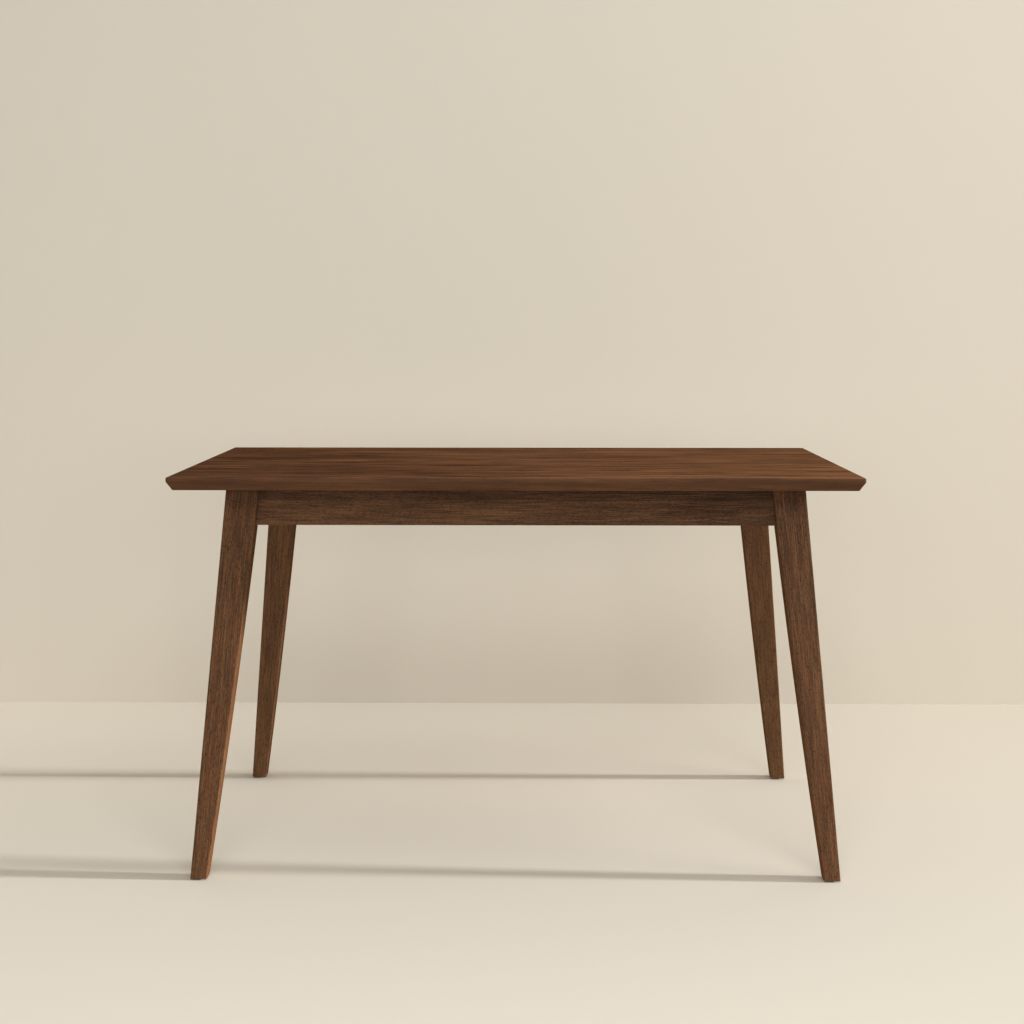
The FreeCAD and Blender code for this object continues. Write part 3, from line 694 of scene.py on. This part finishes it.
def threadedPart(thread, low, high):
    # One turn's outline runs up round the axis turn by turn, and is cut off flat and closed at
    # both ends
    pitch, segments = thread["pitch"], boltSettings["segments"]
    part = bmesh.new()
    points = [
        part.verts.new((radius, 0, low + (share - 1) * pitch))
        for radius, share in thread["outline"]]
    sides = [part.edges.new(pair) for pair in zip(points, points[1:])]
    turns = math.ceil((high - low) / pitch) + 2
    bmesh.ops.spin(
        part, geom=points + sides, cent=(0, 0, 0), axis=(0, 0, 1), dvec=(0, 0, pitch / segments),
        angle=turns * 2 * math.pi, steps=turns * segments)
    bmesh.ops.remove_doubles(part, verts=part.verts[:], dist=boltSettings["mergeDistance"])
    for height, way in ((low, -1), (high, 1)):
        bmesh.ops.bisect_plane(
            part, geom=part.verts[:] + part.edges[:] + part.faces[:],
            dist=boltSettings["cutTolerance"], plane_co=(0, 0, height), plane_no=(0, 0, way),
            clear_outer=True)
    bmesh.ops.holes_fill(part, edges=part.edges[:], sides=0)
    bmesh.ops.remove_doubles(part, verts=part.verts[:], dist=boltSettings["mergeDistance"])
    bmesh.ops.triangulate(part, faces=[f for f in part.faces if len(f.verts) > 4])
    bmesh.ops.recalc_face_normals(part, faces=part.faces[:])
    mesh = bpy.data.meshes.new("threadedPart")
    part.to_mesh(mesh)
    part.free()
    return mesh


def boltMesh():
    # The stud's end is eased and the wood screw's runs to a point
    length, stud, radius = boltSettings["length"], boltSettings["stud"], boltSettings["radius"]
    bolt = bmesh.new()
    bolt.from_mesh(threadedPart(boltSettings["machine"], 0.0, stud))
    bolt.from_mesh(threadedPart(
        boltSettings["wood"], stud - boltSettings["joint"], length - boltSettings["blunt"]))
    for vert in bolt.verts:
        across = math.hypot(vert.co.x, vert.co.y)
        eased = min(across, radius - boltSettings["ease"] + vert.co.z)
        pointed = min(1.0, (length - vert.co.z) / boltSettings["point"])
        if across > 0:
            vert.co.xy *= eased * pointed / across
    mesh = bpy.data.meshes.new("boltMesh")
    bolt.to_mesh(mesh)
    bolt.free()
    return mesh


oneBolt = boltMesh()
low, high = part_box("hanger_bolts")
bolts = bmesh.new()
axisInset = boltSettings["radius"] / 1000  # the bolts' axes lie a radius inside their box
for sideX, sideY in corners.values():
    direction = Vector((sideX, sideY, 0)).normalized()
    for height in (low.z + axisInset, high.z - axisInset):
        point = Vector((high.x * sideX, high.y * sideY, height))
        start = point - direction * boltSettings["length"] / 1000
        before = len(bolts.verts)
        bolts.from_mesh(oneBolt)
        bmesh.ops.transform(
            bolts, verts=bolts.verts[before:],
            matrix=Matrix.Translation(start) @ direction.to_track_quat("Z", "Y").to_matrix().to_4x4()
            @ Matrix.Scale(0.001, 4))
boltThreads = bpy.data.meshes.new("hanger_bolt_threads")
bolts.to_mesh(boltThreads)
bolts.free()
boltThreads.shade_smooth()
boltThreads.set_sharp_from_angle(angle=math.radians(boltSettings["sharpAngle"]))
boltThreads.materials.append(zinc)
threadedBolts = bpy.data.objects.new("hanger_bolt_threads", boltThreads)
scene.collection.objects.link(threadedBolts)
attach(threadedBolts, "root")
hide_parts("hanger_bolts")
print("fasteners finished")

# Nylon, injection moulded in dark brown: a dull sheen, a fine moulded grain and pale scuffs that
# gather on the face that slides on the floor
nylonLook = {
    "colour": "#1C1714", "scuffed": "#4A423B",
    "scuffSize": (0.010, 0.0012), "scuffDetail": 2.0, "scuffTop": 0.0009,
    "grainSize": 0.0007, "grainDetail": 2.0, "grainDepth": 0.00003, "grainStrength": 0.5,
    "roughness": (0.42, 0.66), "dullSpan": (0.3, 0.7), "ior": 1.53,
}
nylon, tree = newMaterial("mouldedNylon")
coords = addNode(tree, "ShaderNodeTexCoord")
mouldGrain = addNode(tree, "ShaderNodeTexNoise", {
    "Scale": 1 / nylonLook["grainSize"], "Detail": nylonLook["grainDetail"],
}, {"Vector": coords.outputs["Object"]})
scuffSpace = addNode(tree, "ShaderNodeMapping", {"Scale": noiseScale(*nylonLook["scuffSize"])}, {
    "Vector": coords.outputs["Object"],
})
scuffs = addNode(tree, "ShaderNodeTexNoise", {"Scale": 1.0, "Detail": nylonLook["scuffDetail"]}, {
    "Vector": scuffSpace.outputs[0],
})
height = addNode(tree, "ShaderNodeSeparateXYZ", {}, {0: coords.outputs["Object"]})
sliding = addNode(tree, "ShaderNodeMapRange", {
    "From Min": 0.0, "From Max": nylonLook["scuffTop"], "To Min": 1.0, "To Max": 0.0,
}, {0: height.outputs[2]})
worn = addNode(tree, "ShaderNodeMath", {"operation": "MULTIPLY"}, {
    0: scuffs.outputs[0], 1: sliding.outputs[0],
})
wornColour = addNode(tree, "ShaderNodeMix", {
    "data_type": "RGBA", 6: linear(nylonLook["colour"]), 7: linear(nylonLook["scuffed"]),
}, {0: worn.outputs[0]})
dullness = addNode(tree, "ShaderNodeMapRange", {
    "From Min": nylonLook["dullSpan"][0], "From Max": nylonLook["dullSpan"][1],
    "To Min": nylonLook["roughness"][0], "To Max": nylonLook["roughness"][1],
}, {0: mouldGrain.outputs[0]})
bump = addNode(tree, "ShaderNodeBump", {
    "Strength": nylonLook["grainStrength"], "Distance": nylonLook["grainDepth"],
}, {"Height": mouldGrain.outputs[0]})
surface = addNode(tree, "ShaderNodeBsdfPrincipled", {"IOR": nylonLook["ior"]}, {
    "Base Color": wornColour.outputs[2], "Roughness": dullness.outputs[0], "Normal": bump.outputs[0],
})
addNode(tree, "ShaderNodeOutputMaterial", {}, {"Surface": surface.outputs[0]})
for name in nodes:
    if name.startswith("foot_glide"):
        nodes[name].data.materials[0] = nylon
print("glides finished")

scene.view_settings.view_transform = "Standard"
